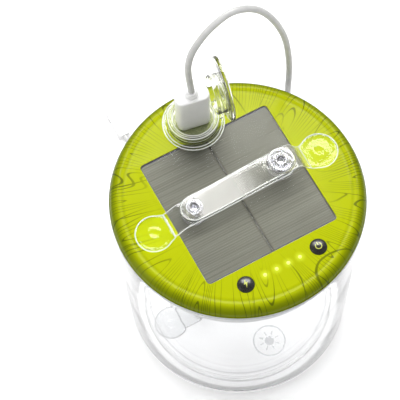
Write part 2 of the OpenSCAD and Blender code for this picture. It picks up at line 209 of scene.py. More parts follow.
def principled(name, color, roughness, metallic=0.0, specular=0.5, coat=0.0):
    material = bpy.data.materials.new(name)
    material.use_nodes = True
    for socket, value in (
        ("Base Color", color), ("Roughness", roughness), ("Metallic", metallic),
        ("Specular IOR Level", specular), ("Coat Weight", coat), ("Coat Roughness", 0.05),
    ):
        set_look(material, socket, value)
    return material


def math_node(tree, operation, *values):
    return add_node(tree, "Math", dict(enumerate(values)), operation=operation)


def times(tree, a, b):
    return math_node(tree, "MULTIPLY", a, b)


def minus(tree, a, b):
    return math_node(tree, "SUBTRACT", a, b)


def apart(tree, value, centre):
    """How far a value is from a centre, either way."""
    return math_node(tree, "ABSOLUTE", minus(tree, value, centre))


def vector_node(tree, operation, *values, output=0):
    return add_node(tree, "VectorMath", dict(enumerate(values)), output, operation)


def map_range(tree, value, low, high, to_low=0.0, to_high=1.0):
    """A smooth step from to_low to to_high as the value goes from low to high."""
    limits = {"From Min": low, "From Max": high, "To Min": to_low, "To Max": to_high}
    result = add_node(tree, "MapRange", {"Value": value, **limits}, "Result")
    result.node.interpolation_type = "SMOOTHSTEP"
    return result


def mix_color(tree, factor, a, b):
    made = tree.nodes.new("ShaderNodeMix")
    made.data_type = "RGBA"
    for key, value in (("Factor", factor), (6, a), (7, b)):
        feed(tree, made.inputs[key], value)
    return made.outputs[2]


def object_coords(tree):
    return add_node(tree, "TexCoord", {}, "Object")


def axis_coord(tree, axis):
    return add_node(tree, "SeparateXYZ", {0: object_coords(tree)}, axis)


def scaled_coords(tree, scale):
    return add_node(tree, "Mapping", {"Scale": scale, "Vector": object_coords(tree)})


def noise(tree, scale, detail=2.0, roughness=0.5, distortion=0.0, vector=None):
    """Noise over the object's coordinates, unless others are given."""
    if vector is None:
        vector = object_coords(tree)
    look = {"Scale": scale, "Detail": detail, "Roughness": roughness, "Distortion": distortion}
    return add_node(tree, "TexNoise", {**look, "Vector": vector}, "Fac")


def add_bump(material, height, strength, distance):
    bump = {"Strength": strength, "Distance": distance, "Height": height}
    set_look(material, "Normal", add_node(material.node_tree, "Bump", bump))


def mottled(name, color, other, scale, gloss=(0.3, 0.5), bump=0.1, distance=0.00005, coat=0.0):
    """Moulded plastic with slight variation in colour and roughness, and a fine grain."""
    material = principled(name, color, gloss[0], coat=coat)
    tree = material.node_tree
    broad = noise(tree, scale, 3)
    fine = noise(tree, scale * 12)
    set_look(material, "Base Color", mix_color(tree, map_range(tree, broad, 0.35, 0.7), color, other))
    set_look(material, "Roughness", map_range(tree, fine, 0.3, 0.7, *gloss))
    add_bump(material, fine, bump, distance)
    return material


def clear(name, tint, roughness, ior, wave, transmission=1.0, shadow=0.93):
    """Clear soft plastic. Lamps pass through it, so that what is inside stays bright."""
    material = principled(name, tint, roughness)
    tree = material.node_tree
    set_look(material, "Transmission Weight", transmission)
    set_look(material, "IOR", ior)
    scale, strength, distance = wave
    add_bump(material, noise(tree, scale), strength, distance)
    for_shadows = add_node(tree, "LightPath", {}, "Is Shadow Ray")
    through = add_node(tree, "BsdfTransparent", {"Color": (shadow, shadow, shadow)})
    mixed = add_node(tree, "MixShader", {0: for_shadows, 1: shader_of(material).outputs[0], 2: through})
    feed(tree, tree.nodes["Material Output"].inputs["Surface"], mixed)
    return material


def haze_and_highlight_between(material, left, right, clear_weight):
    """Milky in the middle of a strap and clear towards both ends, partly hazy plastic and partly a painted
    highlight; left and right in mm along X.
    """
    tree = material.node_tree
    milky_and_highlight = shader_of(material).inputs["Transmission Weight"].default_value
    x = axis_coord(tree, "X")
    from_left = map_range(tree, x, (left - 4) * MM, left * MM, clear_weight, milky_and_highlight)
    from_right = map_range(tree, x, right * MM, (right + 16) * MM, milky_and_highlight, clear_weight)
    set_look(material, "Transmission Weight", math_node(tree, "MAXIMUM", from_left, from_right))


def paint_shade_rings(material, bands):
    """Paints shade on a clear material as grey rings round the middle axis: bands of (centre, half width,
    grey), in mm.
    """
    tree = material.node_tree
    color = tuple(shader_of(material).inputs["Base Color"].default_value)[:3]
    radius = radius_from(tree)
    for centre, half, grey in bands:
        band = map_range(tree, apart(tree, radius, centre * MM), half * 0.5 * MM, half * MM, 1.0, 0.0)
        color = mix_color(tree, band, color, (grey, grey, grey * 1.01))
    set_look(material, "Base Color", color)


LIME = (0.47, 0.53, 0.002)
LIME_BRIGHT = (0.52, 0.57, 0.002)
# LIME_SHADE darkens the rim, partly print and partly painted shade on the shoulder, and paints shade in the
# groove.
LIME_SHADE = (0.13, 0.17, 0.001)
INK = (0.05, 0.07, 0.004)


def contour_field(tree, vector, scale, amount):
    """A smooth height field; its level lines are the printed contours."""
    return times(tree, noise(tree, scale, 0.6, 0.4, 0.15, vector), amount)


def rim_space(tree, along):
    """Coordinates that change slowly along a radius near the rim, so that contours run outwards there."""
    flat = scaled_coords(tree, (1, 1, 0))
    radius = vector_node(tree, "LENGTH", flat, output="Value")
    kept = times(tree, minus(tree, radius, BODY_R * MM), along)
    wide = math_node(tree, "ADD", kept, BODY_R * MM)
    direction = vector_node(tree, "NORMALIZE", flat)
    return add_node(tree, "VectorMath", {0: direction, "Scale": wide}, operation="SCALE")


def contour_lines(tree, space, scale, amount, half_width):
    """1 on thin lines of one width, where the height field crosses whole numbers and a half."""
    step = 0.0002
    here, right, up = (
        contour_field(tree, vector_node(tree, "ADD", space, offset), scale, amount)
        for offset in ((0, 0, 0), (step, 0, 0), (0, step, 0))
    )
    dx, dy = minus(tree, right, here), minus(tree, up, here)
    slope = math_node(tree, "SQRT", math_node(tree, "ADD", times(tree, dx, dx), times(tree, dy, dy)))
    slope = math_node(tree, "MAXIMUM", math_node(tree, "DIVIDE", slope, step), 60)
    away = apart(tree, math_node(tree, "FRACT", here), 0.5)
    distance = math_node(tree, "DIVIDE", away, slope)
    return map_range(tree, distance, half_width, half_width * 2.4, 1.0, 0.0)


def radius_from(tree, centre=(0, 0)):
    """Distance from a vertical axis, in metres."""
    away = vector_node(tree, "SUBTRACT", object_coords(tree), (*centre, 0))
    return vector_node(tree, "LENGTH", vector_node(tree, "MULTIPLY", away, (1, 1, 0)), output="Value")


def lime_film_material():
    material = principled("lime_printed_film", LIME, 0.20, specular=0.05)
    tree = material.node_tree
    radius = radius_from(tree)
    fine = contour_lines(tree, rim_space(tree, 0.14), 55, 26.0, 0.00006)
    fine = times(tree, fine, map_range(tree, radius, 0.038, 0.060, 0.08, 0.75))
    bold = contour_lines(tree, rim_space(tree, 0.30), 24, 6.0, 0.00009)
    bold = times(tree, bold, map_range(tree, radius, 0.036, 0.056, 0.10, 0.7))
    lines = math_node(tree, "MAXIMUM", fine, bold)
    groove = apart(tree, radius, 0.0564)
    body = mix_color(tree, map_range(tree, noise(tree, 45), 0.35, 0.75, 0.0, 0.3), LIME, LIME_BRIGHT)
    # Darker towards the rim: partly the print's darker edge, partly painted shade on the rounded shoulder.
    body = mix_color(tree, map_range(tree, radius, 0.0570, 0.0620, 0.0, 0.85), body, LIME_SHADE)
    # Painted shade: darker in the groove near the rim.
    body = mix_color(tree, map_range(tree, groove, 0.0, 0.0014, 0.22, 0.0), body, LIME_SHADE)
    set_look(material, "Base Color", mix_color(tree, lines, body, INK))
    set_look(material, "Roughness", map_range(tree, noise(tree, 900), 0.3, 0.7, 0.14, 0.20))
    add_bump(material, noise(tree, 60), 0.10, 0.0006)
    # Painted light: a glow painted as emission on the film round each lamp, standing in for the lamps' light
    # through it.
    glow = 0.0
    for x in LAMP_X:
        near = map_range(tree, radius_from(tree, (x * MM, LAMP_Y * MM)), 0.0, 0.0036, 1.0, 0.0)
        glow = math_node(tree, "ADD", glow, near)
    set_look(material, "Emission Color", (0.75, 0.85, 0.10))
    set_look(material, "Emission Strength", times(tree, glow, 0.30))
    return material


def solar_cell_material():
    """Grey cell with fine printed fingers along X, brushed streaks and a soft joint in the middle."""
    material = principled("solar_cell_grid", (0.2, 0.2, 0.19), 0.29, metallic=0.7, specular=0.8)
    tree = material.node_tree
    pitch = math_node(tree, "DIVIDE", axis_coord(tree, "Y"), 0.00125)
    finger = map_range(tree, apart(tree, math_node(tree, "FRACT", pitch), 0.5), 0.05, 0.18, 1.0, 0.0)
    streak = noise(tree, 1.0, 3, 0.6, vector=scaled_coords(tree, (18, 900, 1)))
    cloud = map_range(tree, streak, 0.35, 0.68, 0.0, 0.6)
    base = mix_color(tree, cloud, (0.25, 0.25, 0.205), (0.35, 0.35, 0.29))
    base = mix_color(tree, times(tree, finger, 0.30), base, (0.46, 0.46, 0.43))
    joint = map_range(tree, apart(tree, axis_coord(tree, "X"), 0), 0.0002, 0.0016, 0.5, 0.0)
    set_look(material, "Base Color", mix_color(tree, joint, base, (0.10, 0.09, 0.06)))
    add_bump(material, math_node(tree, "ADD", times(tree, finger, 0.5), streak), 0.2, 0.00004)
    return material


def panel_material():
    """Laminate round and between the cells: brown in the joint, violet at the edge."""
    violet, pale = (0.07, 0.06, 0.11), (0.09, 0.08, 0.13)
    material = mottled("panel_laminate", violet, pale, 300)
    tree = material.node_tree
    edge = mix_color(tree, map_range(tree, noise(tree, 500), 0.3, 0.7), violet, pale)
    joint = map_range(tree, apart(tree, axis_coord(tree, "X"), 0), 0.002, 0.003, 1.0, 0.0)
    set_look(material, "Base Color", mix_color(tree, joint, edge, (0.035, 0.032, 0.022)))
    return material


def metal_material(name, color, roughness, streak=(1, 1, 1)):
    material = principled(name, color, roughness, metallic=1.0)
    tree = material.node_tree
    lines = noise(tree, 900, vector=scaled_coords(tree, streak))
    gloss = map_range(tree, lines, 0.3, 0.7, roughness * 0.8, roughness * 1.4)
    set_look(material, "Roughness", gloss)
    add_bump(material, lines, 0.06, 0.00003)
    return material


def board_material():
    """Green solder mask with a faint copper track pattern under it."""
    green = (0.015, 0.14, 0.06)
    material = principled("solder_mask", green, 0.3, coat=0.4)
    tree = material.node_tree
    tracks = add_node(tree, "TexBrick", {
        "Scale": 260, "Mortar Size": 0.03, "Color1": green, "Color2": (0.02, 0.17, 0.075),
        "Mortar": (0.05, 0.27, 0.11), "Vector": object_coords(tree),
    }, "Color")
    set_look(material, "Base Color", tracks)
    return material


def lamp_material():
    """The lamps' lenses, which glow a little unevenly."""
    material = principled("lamp_glow", (0.60, 0.64, 0.04), 0.4)
    tree = material.node_tree
    set_look(material, "Emission Color", (0.93, 1.0, 0.30))
    set_look(material, "Emission Strength", map_range(tree, noise(tree, 400), 0.2, 0.8, 0.30, 0.42))
    return material


# Clear plastics: name, tint, roughness, index, wave (scale, strength, distance), how clear, and how much
# lamp light they let through.
CLEAR_PARTS = {
    "wall": ("clear_film_wall", (0.925, 0.928, 0.932), 0.015, 1.42, (22, 0.25, 0.0012), 1.0, 0.96),
    "film": ("clear_weld_film", (0.97, 0.98, 0.99), 0.03, 1.42, (60, 0.1, 0.0004), 1.0, 0.96),
    "bottom": ("clear_bottom_film", (0.92, 0.923, 0.927), 0.03, 1.42, (60, 0.15, 0.0006), 1.0, 0.96),
    "foot": ("clear_foot_film", (0.985, 0.985, 0.99), 0.04, 1.42, (60, 0.1, 0.0004), 1.0, 0.9),
    "strap": ("clear_strap_tpu", (0.91, 0.92, 0.91), 0.05, 1.45, (90, 0.05, 0.0003)),
    "strap_hazy": ("hazy_strap_tpu", (0.97, 0.965, 0.93), 0.12, 1.42, (60, 0.1, 0.0006), 0.72, 0.9),
    # Whitish edge beads: partly real weld beads, partly a painted highlight along the edges.
    "bead": ("highlight_edge_bead", (0.97, 0.98, 0.97), 0.12, 1.5, (200, 0.05, 0.0003), 0.5, 0.9),
    "snap": ("clear_snap_tpu", (0.86, 0.86, 0.91), 0.05, 1.47, (200, 0.1, 0.0003)),
    "pad": ("clear_weld_pad", (0.84, 0.86, 0.80), 0.06, 1.25, (90, 0.05, 0.0003)),
    # The next three are tinted grey: painted shade for the parts on and under the base, seen through the
    # body.
    "edge_line": ("shade_grey_edge_line", (0.42, 0.43, 0.45), 0.1, 1.46, (150, 0.1, 0.0003)),
    "low_strap": ("shade_grey_low_strap", (0.80, 0.81, 0.82), 0.06, 1.46, (90, 0.1, 0.0004)),
    "mark": ("shade_grey_raised_mark", (0.58, 0.59, 0.61), 0.06, 1.46, (150, 0.1, 0.0003)),
    "boss": ("clear_port_tpu", (0.96, 0.975, 0.93), 0.04, 1.46, (150, 0.1, 0.0003)),
    # The port surround's darker olive tint is painted shade round the well.
    "port": ("shade_tinted_port_surround", (0.72, 0.75, 0.54), 0.05, 1.46, (150, 0.1, 0.0003)),
    "cap": ("clear_cap_tpu", (0.96, 0.97, 0.91), 0.06, 1.38, (150, 0.1, 0.0003)),
    # The gasket's dark olive tint is painted shade under the plug.
    "gasket": ("shade_olive_gasket", (0.62, 0.66, 0.38), 0.2, 1.46, (150, 0.1, 0.0003), 0.8),
    "window": ("clear_panel_window", (0.97, 0.975, 0.96), 0.1, 1.14, (70, 0.12, 0.0004)),
}
# Moulded plastics: name, colour, second colour, scale, roughness (low, high), grain, its depth, coat.
MOULDED_PARTS = {
    "white": (
        "white_overmould", (0.94, 0.94, 0.93), (0.90, 0.90, 0.89), 160, (0.30, 0.42), 0.1, 0.00005, 0.15
    ),
    "tray": ("white_tray", (0.88, 0.88, 0.87), (0.83, 0.83, 0.82), 90, (0.35, 0.5)),
    "diffuser": ("milky_diffuser", (0.92, 0.92, 0.86), (0.86, 0.87, 0.8), 200, (0.3, 0.5), 0.1, 0.00005, 0.2),
    "foam": ("black_foam", (0.03, 0.03, 0.03), (0.06, 0.06, 0.06), 900, (0.8, 0.95), 0.5, 0.0002),
    "red": ("red_insulation", (0.5, 0.02, 0.015), (0.42, 0.015, 0.01), 300),
    "black": ("black_plastic", (0.02, 0.02, 0.02), (0.035, 0.035, 0.035), 300),
    "led": ("led_phosphor", (0.85, 0.75, 0.2), (0.9, 0.86, 0.5), 700),
    "key": (
        "black_key_dome", (0.012, 0.012, 0.010), (0.020, 0.020, 0.017), 300, (0.24, 0.34), 0.04, 0.00005, 0.15
    ),
    "icon": ("key_icon_print", (0.62, 0.66, 0.10), (0.54, 0.58, 0.08), 900),
    "cord": ("white_cord_jacket", (0.66, 0.66, 0.645), (0.60, 0.60, 0.59), 260, (0.38, 0.5)),
}


def make_materials():
    mats = {key: clear(*row) for key, row in CLEAR_PARTS.items()}
    mats.update({key: mottled(*row) for key, row in MOULDED_PARTS.items()})
    # Painted shade on the bottom film: a darker band near its edge and dark lines at its moulded rings.
    paint_shade_rings(
        mats["bottom"], ((51.2, 2.4, 0.82), (51.5, 0.45, 0.5), (47.5, 0.5, 0.84), (44.0, 0.5, 0.9))
    )
    # Painted shade on the foot: a dark outer band and a dark line at its inner edge.
    paint_shade_rings(mats["foot"], ((61.4, 4.4, 0.16), (54.2, 0.7, 0.45)))
    # The upper strap's whitish middle is partly haze, partly a painted highlight.
    haze_and_highlight_between(mats["strap_hazy"], -21, -3, 0.97)
    return {
        **mats,
        "lime": lime_film_material(),
        "cell": solar_cell_material(),
        "panel": panel_material(),
        "board": board_material(),
        "steel": metal_material("plated_steel", (0.72, 0.72, 0.71), 0.26, (1, 1, 6)),
        "battery": metal_material("pouch_foil", (0.62, 0.63, 0.65), 0.42),
        "lamp": lamp_material(),
    }


# ---------------------------------------------------------------- mesh tools

def mesh_object(name, verts_mm, faces, material, smooth_angle=35):
    mesh = bpy.data.meshes.new(name)
    mesh.from_pydata([tuple(c * MM for c in v) for v in verts_mm], [], faces)
    mesh.validate()
    mesh.update()
    piece = bpy.data.objects.new(name, mesh)
    bpy.context.scene.collection.objects.link(piece)
    mesh.materials.append(material)
    mesh.shade_smooth()
    mesh.set_sharp_from_angle(angle=math.radians(smooth_angle))
    return piece


def ring_round(point, radius, u, v, sides):
    """A circle of points round a point, in the plane of two unit directions."""
    angles = [2 * math.pi * k / sides for k in range(sides)]
    return [tuple(point + radius * (math.cos(a) * u + math.sin(a) * v)) for a in angles]


def ring_faces(rows, sides, closed=False):
    """Quads between rings of points in turn, closed into a loop or capped at both ends."""
    faces = []
    for i in range(rows if closed else rows - 1):
        here, there = i * sides, (i + 1) % rows * sides
        for k in range(sides):
            n = (k + 1) % sides
            faces.append((here + k, here + n, there + n, there + k))
    if not closed:
        faces += [tuple(reversed(range(sides))), tuple(range((rows - 1) * sides, rows * sides))]
    return faces


def bake_modifiers(piece, smooth_angle):
    """Replaces a piece's mesh with what its modifiers make of it."""
    bpy.context.view_layer.update()
    shown = piece.evaluated_get(bpy.context.evaluated_depsgraph_get())
    mesh = bpy.data.meshes.new_from_object(shown)
    piece.modifiers.clear()
    piece.data = mesh
    mesh.shade_smooth()
    mesh.set_sharp_from_angle(angle=math.radians(smooth_angle))
    return piece


def round_edges(piece, width, segments, from_angle, smooth_angle):
    """Rounds the edges that are sharper than an angle; the width is in mm."""
    rounding = piece.modifiers.new("rounding", "BEVEL")
    rounding.width = width * MM
    rounding.segments = segments
    rounding.limit_method = "ANGLE"
    rounding.angle_limit = math.radians(from_angle)
    return bake_modifiers(piece, smooth_angle)


def place(piece, body, slot, *nodes):
    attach(piece, body)
    if nodes:
        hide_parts(*nodes)
    return piece


def arc(centre, radius, start, end, count):
    """Points on an arc, angles in degrees, as (x, y) pairs."""
    return [
        (centre[0] + radius * math.cos(math.radians(a)), centre[1] + radius * math.sin(math.radians(a)))
        for a in np.linspace(start, end, count)
    ]


def circle_points(centre, radius, count):
    return arc(centre, radius, 0, 360 * (1 - 1 / count), count)


def rounded_rectangle(width, depth, corner, count):
    outline = []
    for sx, sy, start in ((1, 1, 0), (-1, 1, 90), (-1, -1, 180), (1, -1, 270)):
        centre = (sx * (width / 2 - corner), sy * (depth / 2 - corner))
        outline += arc(centre, corner, start, start + 90, count)
    return outline


def rounded_outline(points, radius, steps=3):
    """Rounds each corner of a closed outline, but leaves points on the axis (first number 0)."""
    made = []
    count = len(points)
    for i, corner in enumerate(points):
        before, after = points[i - 1], points[(i + 1) % count]
        if abs(corner[0]) < 1e-6:
            made.append(corner)
            continue
        p = Vector(corner)
        to_before, to_after = Vector(before) - p, Vector(after) - p
        reach = min(radius, 0.45 * to_before.length, 0.45 * to_after.length)
        a, b = p + to_before.normalized() * reach, p + to_after.normalized() * reach
        for k in range(steps + 1):
            t = k / steps
            made.append(tuple((1 - t) ** 2 * a + 2 * t * (1 - t) * p + t * t * b))
    return made


def lathe(name, profile, material, centre=(0, 0), segments=96, corner=0.0, shape=None):
    """Turns a closed (radius, z) outline round a vertical axis.

    corner rounds the outline first, and shape may bend a point once it is made.
    """
    if corner:
        profile = rounded_outline(profile, corner)
    verts, rings = [], []
    for radius, z in profile:
        if abs(radius) < 1e-6:
            rings.append([len(verts)] * segments)
            verts.append((*centre, z))
            continue
        rings.append(list(range(len(verts), len(verts) + segments)))
        for k in range(segments):
            a = 2 * math.pi * k / segments
            verts.append((centre[0] + radius * math.cos(a), centre[1] + radius * math.sin(a), z))
    faces = []
    for i, ring in enumerate(rings):
        other = rings[(i + 1) % len(rings)]
        for k in range(segments):
            n = (k + 1) % segments
            face = list(dict.fromkeys((ring[k], ring[n], other[n], other[k])))
            if len(face) > 2:
                faces.append(face)
    if shape:
        verts = [shape(*v) for v in verts]
    return mesh_object(name, verts, faces, material)


def inside(points, loop):
    """Which of the points lie inside a closed loop."""
    x, y = points[:, 0], points[:, 1]
    hit = np.zeros(len(points), bool)
    for (x0, y0), (x1, y1) in zip(loop, loop[1:] + loop[:1]):
        crosses = (y0 > y) != (y1 > y)
        with np.errstate(divide="ignore", invalid="ignore"):
            at = (x1 - x0) * (y - y0) / (y1 - y0 + 1e-30) + x0
        hit ^= crosses & (x < at)
    return hit


def flat_sheet(outline, holes, step):
    """Triangles over an outline with holes, with inner points step apart so that the sheet can bend."""
    loops = [list(outline)] + [list(h) for h in holes]
    points, edges = [], []
    for loop in loops:
        first = len(points)
        points += loop
        edges += [(first + i, first + (i + 1) % len(loop)) for i in range(len(loop))]
    low, high = np.min(outline, axis=0), np.max(outline, axis=0)
    grid = np.array([
        (x, y)
        for x in np.arange(low[0] + step / 2, high[0], step)
        for y in np.arange(low[1] + step / 2, high[1], step)
    ])
    rim = np.array(points)
    near = np.array([np.min(np.hypot(rim[:, 0] - gx, rim[:, 1] - gy)) for gx, gy in grid])
    keep = inside(grid, loops[0]) & (near > step * 0.45)
    for hole in loops[1:]:
        keep &= ~inside(grid, hole)
    points = [Vector(p) for p in points] + [Vector(p) for p in grid[keep]]
    verts, _, faces, *_ = delaunay_2d_cdt(points, edges, [], 0, 1e-6)
    centres = np.array([sum((verts[i] for i in f), Vector((0, 0))) / len(f) for f in faces])
    keep = inside(centres, loops[0])
    for hole in loops[1:]:
        keep &= ~inside(centres, hole)
    return [tuple(v) for v in verts], [tuple(f) for f, k in zip(faces, keep) if k]


def closed_sheet(name, under, over, faces, material, smooth_angle):
    """A solid between two copies of a sheet, with walls along its open edges."""
    count = len(under)
    edges = dict.fromkeys((a, b) for f in faces for a, b in zip(f, f[1:] + f[:1]))
    walls = [(a, b, b + count, a + count) for a, b in edges if (b, a) not in edges]
    top = [tuple(i + count for i in f) for f in faces]
    bottom = [tuple(reversed(f)) for f in faces]
    return mesh_object(name, under + over, top + bottom + walls, material, smooth_angle)


def sheet_piece(name, outline, holes, height, thickness, material, step, bevel=0.2):
    """A bent sheet with holes and rounded edges. height gives the z of its underside at (x, y)."""
    verts, faces = flat_sheet(outline, holes, step)
    low = [(x, y, height(x, y)) for x, y in verts]
    high = [(x, y, z + thickness) for x, y, z in low]
    piece = closed_sheet(name, low, high, faces, material, 40)
    return round_edges(piece, bevel, 2, 50, 40) if bevel else piece


def smoothstep(t):
    t = min(max(t, 0.0), 1.0)
    return t * t * (3 - 2 * t)


# ---------------------------------------------------------------- cable

CORD_D = 3.3
LAY_Z = 1.7
COIL_AT = (45, 88)
OUTER_TURN_R, INNER_TURN_R = 21.2, 14.4
UPPER_LAYER_Z = 5.0
LEAD_ROUTE = [
    (-0.9, 44, 170.8), (-1.3, 44.1, 178), (-1.8, 44.2, 187), (-1.5, 44.2, 196), (0.8, 44.2, 205),
    (5.5, 44.3, 212.5), (12, 44.5, 218.5), (21, 45, 221.5), (30, 45.5, 217.5), (38, 46, 208.5),
    (44.5, 46, 196), (49.5, 46.5, 182), (53, 47, 168), (55, 47, 153), (56, 47, 138),
    (56, 47, 122), (56.5, 47.5, 106), (57, 48, 90), (57, 48.5, 74), (57.5, 49, 58),
    (57.5, 50, 43), (57.5, 52, 29), (58, 55.5, 17), (58.5, 60.5, 8), (60, 67, 3),
    (62.5, 74, LAY_Z), (65.5, 81, LAY_Z),
]
TAIL_ROUTE = [
    (38, 109.5, 4.3), (30, 109.5, 2.7), (22, 109, LAY_Z), (13, 108.5, LAY_Z), (4, 108.5, LAY_Z),
    (-3, 109.5, LAY_Z), (-8, 112, 2), (-11, 115.5, 2.3), (-12, 120.5, 2.4),
]


def coil_points():
    """Two layers: in over the floor, up at the inner turn, and out again on top."""
    turns, in_turns, inner_turns = 5.25, 2.0, 1.25
    points = []
    steps = int(turns * 24)
    for i in range(steps + 1):
        t = turns * i / steps
        out_start = in_turns + inner_turns
        if t < in_turns:
            radius = OUTER_TURN_R - (OUTER_TURN_R - INNER_TURN_R) * t / in_turns
        elif t < out_start:
            radius = INNER_TURN_R
        else:
            radius = INNER_TURN_R + (OUTER_TURN_R - INNER_TURN_R) * (t - out_start) / in_turns
        rise = smoothstep((t - in_turns - 0.15) / 0.75)
        z = LAY_Z + (UPPER_LAYER_Z - LAY_Z) * rise
        a = 2 * math.pi * t
        points.append((COIL_AT[0] + radius * math.cos(a), COIL_AT[1] + radius * math.sin(a), z))
    return points


def smooth_path(points, spacing):
    """An even walk along a smooth curve through the points."""
    p = [Vector(q) for q in points]
    dense = []
    for i in range(len(p) - 1):
        a, b, c, d = p[max(i - 1, 0)], p[i], p[i + 1], p[min(i + 2, len(p) - 1)]
        for k in range(8):
            t = k / 8
            dense.append(0.5 * (
                2 * b + (c - a) * t + (2 * a - 5 * b + 4 * c - d) * t * t + (3 * b - a - 3 * c + d) * t ** 3
            ))
    dense.append(p[-1])
    dense = np.array([tuple(q) for q in dense])
    along = np.concatenate([[0], np.cumsum(np.linalg.norm(np.diff(dense, axis=0), axis=1))])
    even = np.linspace(0, along[-1], int(round(along[-1] / spacing)) + 1)
    return np.stack([np.interp(even, along, dense[:, k]) for k in range(3)], axis=1)


def tube(name, path, radius, material, sides=16):
    """A closed round tube whose rings don't twist along the path."""
    tangents = np.gradient(path, axis=0)
    tangents /= np.linalg.norm(tangents, axis=1)[:, None]
    normal = np.array([1.0, 0, 0])
    verts = []
    for point, t in zip(path, tangents):
        normal = normal - normal.dot(t) * t
        normal /= np.linalg.norm(normal)
        verts += ring_round(point, radius, normal, np.cross(t, normal), sides)
    return mesh_object(name, verts, ring_faces(len(path), sides), material, 50)


def rounded_bar(name, size, corner, origin, material, bevel, axis="Z"):
    """A bar with a rounded-rectangle section, grown along Z or Y from the middle of its first face."""
    width, depth, length = size
    outline = rounded_rectangle(width, depth, corner, 8)
    levels = (0, 0.35, 0.7, 1)
    verts = []
    for t in levels:
        for x, y in outline:
            offset = (x, y, t * length) if axis == "Z" else (x, t * length, -y)
            verts.append(tuple(a + b for a, b in zip(origin, offset)))
    piece = mesh_object(name, verts, ring_faces(len(levels), len(outline)), material)
    return round_edges(piece, bevel, 4, 60, 50)


def at_port(piece):
    """Moves a piece drawn round the middle axis to the port, and turns it with the socket."""
    piece.data.transform(
        Matrix.Translation((PORT_X * MM, PORT_Y * MM, 0)) @ Matrix.Rotation(PORT_TURN, 4, "Z")
    )
    return piece


PLUG_SIZE = (17, 8.5)


def make_cable(mats):
    low, high = box_mm("usb_plug_body")
    plug = at_port(rounded_bar(
        "plug_mould", (*PLUG_SIZE, high.z - low.z), 3.2, (0, 0, low.z), mats["white"], 0.9
    ))
    place(plug, "top_unit", "white_cable", "usb_plug_body")
    low, high = box_mm("usb_plug_collar")
    ribs = (
        (0, 0), (3.7, 0), (3.7, 0.9), (2.9, 1.1), (2.9, 1.7), (3.1, 1.9),
        (3.0, 2.5), (2.5, 2.7), (2.5, 3.2), (2.6, 3.4),
    )
    # The collar starts a little inside the plug.
    profile = [(r, low.z - 0.6 + h) for r, h in ribs] + [(2.3, high.z), (0, high.z)]
    collar = at_port(lathe("plug_strain_relief", profile, mats["white"], segments=48, corner=0.25))
    place(collar, "top_unit", "white_cable", "usb_plug_collar")
    low, high = box_mm("connector_body")
    middle = middle_mm("connector_body")
    connector = rounded_bar(
        "far_connector", (high.x - low.x, high.z - low.z, high.y - low.y), 2.2,
        (middle[0], low.y, middle[2]), mats["white"], 0.5, axis="Y",
    )
    place(connector, "base", "white_cable", "connector_body")
    path = smooth_path(LEAD_ROUTE + coil_points() + TAIL_ROUTE, 1.6)
    cord = tube("cord", path, CORD_D / 2, mats["cord"])
    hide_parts("cord_lead", "cord_coil", "cord_tail")
    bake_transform(cord)


# ---------------------------------------------------------------- top unit


SHOULDER_R = 4.6
SHEET_R = 53.4
LIP_R = BODY_R + 0.5
WALL_R = BODY_R - 0.05
# The window in the film, and half of the square round it that stays flat.
WINDOW_SIDE, FLAT_HALF = 71.5, 36.5


def film_height(radius):
    """How far the inflated film stands off its highest level: a groove, then a soft crest."""
    groove = 0.15 * math.exp(-((radius - 56.4) / 0.95) ** 2)
    crest = 0.06 * math.exp(-((radius - 58.6) / 0.9) ** 2)
    return crest - groove - 0.2 * smoothstep((radius - 30) / 26)


def make_top_film(mats):
    """The printed film: a disc with its holes, a groove near the edge, a round shoulder and a welded lip."""
    window = rounded_rectangle(WINDOW_SIDE, WINDOW_SIDE, 2, 6)
    holes = [window, circle_points((PORT_X, PORT_Y), 7.6, 40)]
    holes += [circle_points((side * KEY_X, KEY_Y), 4.3, 40) for side in (-1, 1)]
    verts, faces = flat_sheet(circle_points((0, 0), SHEET_R, 200), holes, 2.2)

    def surface(x, y):
        past_window = max(abs(x), abs(y)) - FLAT_HALF
        return TOP_Z + film_height(math.hypot(x, y)) * smoothstep(past_window / 4)

    top = [(x, y, surface(x, y)) for x, y in verts]
    ring = [i for i, (x, y) in enumerate(verts) if abs(math.hypot(x, y) - SHEET_R) < 1e-3]
    ring.sort(key=lambda i: math.atan2(verts[i][1], verts[i][0]))
    turn_r = BODY_R - SHOULDER_R
    level = TOP_Z + film_height(turn_r)
    profile = [(r, TOP_Z + film_height(r)) for r in np.arange(SHEET_R + 0.35, turn_r, 0.35)]
    profile += [
        (turn_r + SHOULDER_R * math.sin(t), level - SHOULDER_R * (1 - math.cos(t)))
        for t in np.linspace(0, math.pi / 2, 14)
    ]
    lip_z = FILM_LOW.z + 0.25
    profile += [
        (WALL_R, lip_z + 0.55), (BODY_R + 0.05, lip_z + 0.3), (LIP_R - 0.25, lip_z + 0.22),
        (LIP_R, lip_z), (LIP_R - 0.2, lip_z - 0.25), (BODY_R - 0.2, lip_z - 0.25),
    ]
    angles = [math.atan2(verts[i][1], verts[i][0]) for i in ring]
    previous = ring
    for radius, z in profile:
        current = list(range(len(top), len(top) + len(ring)))
        top += [(radius * math.cos(a), radius * math.sin(a), z) for a in angles]
        for k in range(len(ring)):
            n = (k + 1) % len(ring)
            faces.append((previous[k], current[k], current[n], previous[n]))
        previous = current
    film = mesh_object("printed_film", top, faces, mats["lime"], 50)
    skin = film.modifiers.new("skin", "SOLIDIFY")
    skin.thickness = 0.5 * MM
    skin.offset = -1
    bake_modifiers(film, 50)
    place(film, "top_unit", "lime_film", "top_film")


def make_flange(mats):
    low, high = box_mm("top_rim")
    profile = rounded_outline([
        (BODY_R - 2, low.z), (high.x, low.z), (high.x, low.z + 0.7), (BODY_R - 2, low.z + 0.9)
    ], 0.3, 4)
    place(lathe("weld_flange", profile, mats["film"], segments=160), "top_unit", "clear_film", "top_rim")


